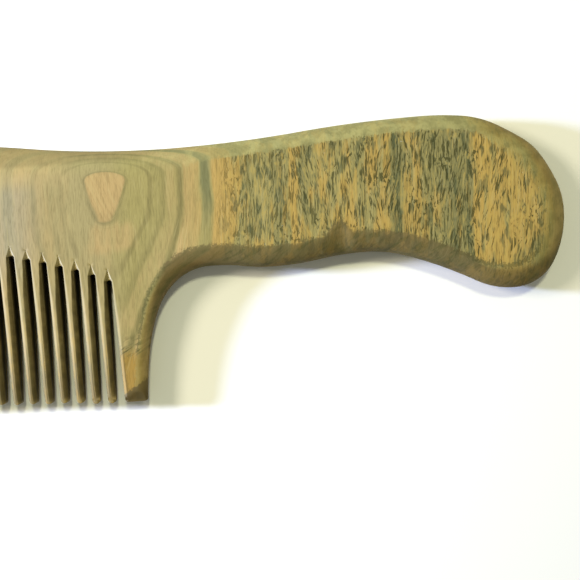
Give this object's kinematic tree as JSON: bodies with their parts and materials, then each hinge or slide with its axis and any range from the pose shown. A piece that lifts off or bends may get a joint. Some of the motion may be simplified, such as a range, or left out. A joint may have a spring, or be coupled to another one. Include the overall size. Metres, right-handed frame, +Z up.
{
  "type": "beard comb",
  "caption": "Wooden beard comb lying flat: curved head with sawn teeth between two guard teeth, and a handle with finger hollows and a rounded bulb end.",
  "frame": {"origin": "middle of the comb's outline box, on the face that it lies on", "axes": "+X from the teeth towards the handle, +Y from the tooth tips towards the back, +Z up through the thickness"},
  "size_m": [0.1938, 0.0588, 0.01],
  "materials": {
    "wood": "satin, hand waxed"
  },
  "bodies": {
    "root": {"back": "wood", "handle": "wood", "handle_guard": "wood", "end_guard": "wood", "tooth_01": "wood", "tooth_02": "wood", "tooth_03": "wood", "tooth_04": "wood", "tooth_05": "wood", "tooth_06": "wood", "tooth_07": "wood", "tooth_08": "wood", "tooth_09": "wood", "tooth_10": "wood", "tooth_11": "wood", "tooth_12": "wood", "tooth_13": "wood", "tooth_14": "wood", "tooth_15": "wood", "tooth_16": "wood", "tooth_17": "wood", "tooth_18": "wood", "tooth_19": "wood", "tooth_20": "wood", "tooth_21": "wood", "tooth_22": "wood", "tooth_23": "wood", "tooth_24": "wood", "tooth_25": "wood", "tooth_26": "wood"}
  },
  "joints": []
}
